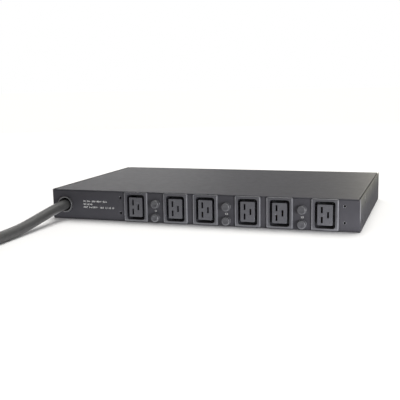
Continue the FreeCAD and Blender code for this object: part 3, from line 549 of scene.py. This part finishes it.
def make_printing(material):
    """A phase mark between the two breakers of each group, and the rating lines at the left."""
    for number in BREAKER_GROUPS:
        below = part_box(f"breaker_nut_lower_{number}")
        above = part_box(f"breaker_nut_upper_{number}")
        middle = (below[1].z + above[0].z) / 2
        place = ((below[0].x + below[1].x) / 2, PANEL, middle + MARK_HEIGHT / 2)
        print_line(f"phase_mark_{number}", f"L{number}", MARK_HEIGHT, place, "CENTER", material)
    for number, words in enumerate(LABEL_LINES, 1):
        place = (LABEL_LEFT, PANEL, LABEL_TOP - (number - 1) * LABEL_PITCH)
        print_line(f"rating_line_{number}", words, LABEL_HEIGHT, place, "LEFT", material)


# Stage.
def background_rays(tree):
    """One for what the camera sees directly, in gloss or through glass, and nought for light on surfaces."""
    path = tree.nodes.new("ShaderNodeLightPath")
    total = path.outputs["Is Camera Ray"]
    for name in ("Is Glossy Ray", "Is Transmission Ray"):
        total = math_node(tree, "MAXIMUM", total, path.outputs[name])
    return total


def make_world():
    world = bpy.data.worlds.new("studio")
    scene.world = world
    world.use_nodes = True
    tree = world.node_tree
    background = tree.nodes["Background"]
    background.inputs["Color"].default_value = (1.0, 1.0, 1.0, 1.0)
    level = map_range(tree, background_rays(tree), 0.0, 1.0, WORLD_LIGHT, 1.0)
    tree.links.new(level, background.inputs["Strength"])


def make_floor():
    half = FLOOR_SIDE / 2
    mesh = bpy.data.meshes.new("floor")
    corners = [(x * half, y * half, -FLOOR_DROP) for x, y in ((-1, -1), (1, -1), (1, 1), (-1, 1))]
    mesh.from_pydata(corners, [], [(0, 1, 2, 3)])
    floor = bpy.data.objects.new("floor", mesh)
    scene.collection.objects.link(floor)
    material, _, shader = new_material("pale_floor")
    shader.inputs["Base Color"].default_value = (FLOOR_TONE, FLOOR_TONE, FLOOR_TONE, 1.0)
    shader.inputs["Roughness"].default_value = FLOOR_ROUGHNESS
    shader.inputs["Specular IOR Level"].default_value = 0.0
    shader.inputs["Emission Color"].default_value = (1.0, 1.0, 1.0, 1.0)
    shader.inputs["Emission Strength"].default_value = FLOOR_GLOW
    mesh.materials.append(material)


def place_lamp(name, data, place, direction):
    """Puts a light in the scene, where it shines in a direction."""
    lamp = bpy.data.objects.new(name, data)
    lamp.location = place
    lamp.rotation_euler = direction.to_track_quat("-Z", "Y").to_euler()
    scene.collection.objects.link(lamp)
    return lamp


def add_sun(name, direction, strength, spread, colour):
    """Even light from a direction, from a disc of the given width in degrees."""
    data = bpy.data.lights.new(name, "SUN")
    data.color = colour
    data.energy = strength
    data.angle = math.radians(spread)
    place_lamp(name, data, (0, 0, 0), -Vector(direction))


def add_lamp(name, place, target, size, power, colour):
    """Rectangular lamp that faces a target, and that the camera doesn't see."""
    data = bpy.data.lights.new(name, "AREA")
    data.color = colour
    data.shape = "RECTANGLE"
    data.size, data.size_y = size
    data.energy = power
    lamp = place_lamp(name, data, place, Vector(target) - Vector(place))
    lamp.visible_camera = False


def add_floor_lamp(name, place, size, power):
    """Lamp close above the floor that faces up, like light that the floor throws back."""
    add_lamp(name, place, (place[0], place[1], 1.0), size, power, COOL)


def make_lamps():
    add_sun("key_lamp", KEY_DIRECTION, KEY_STRENGTH, KEY_SPREAD, WARM)
    add_lamp("front_lamp", place=(0.62, -0.62, 0.035), target=(0.1, -0.135, 0.01),
             size=(0.20, 0.06), power=4.2, colour=COOL)
    add_floor_lamp("floor_lamp", place=(0.0, -0.25, 0.001), size=(0.60, 0.20), power=0.1)
    add_floor_lamp("floor_strip", place=(-0.0325, -0.149, 0.0003), size=(0.415, 0.02), power=0.038)
    add_floor_lamp("right_floor_strip", place=(0.225, -0.154, 0.0003), size=(0.10, 0.03), power=0.023)
    add_lamp("left_back_lamp", place=(-0.95, 1.55, 0.45), target=(-0.15, 0.0, 0.04),
             size=(0.8, 0.5), power=5.6, colour=WARM)
    add_lamp("right_back_lamp", place=(0.205, 1.6, 0.28), target=(0.2, 0.1, 0.04),
             size=(0.03, 0.3), power=6.5, colour=GOLDEN)


make_camera()
materials = make_materials()
dress_nodes(materials)
make_cord(materials["cord_rubber"])
make_printing(materials["print"])
make_world()
make_floor()
make_lamps()
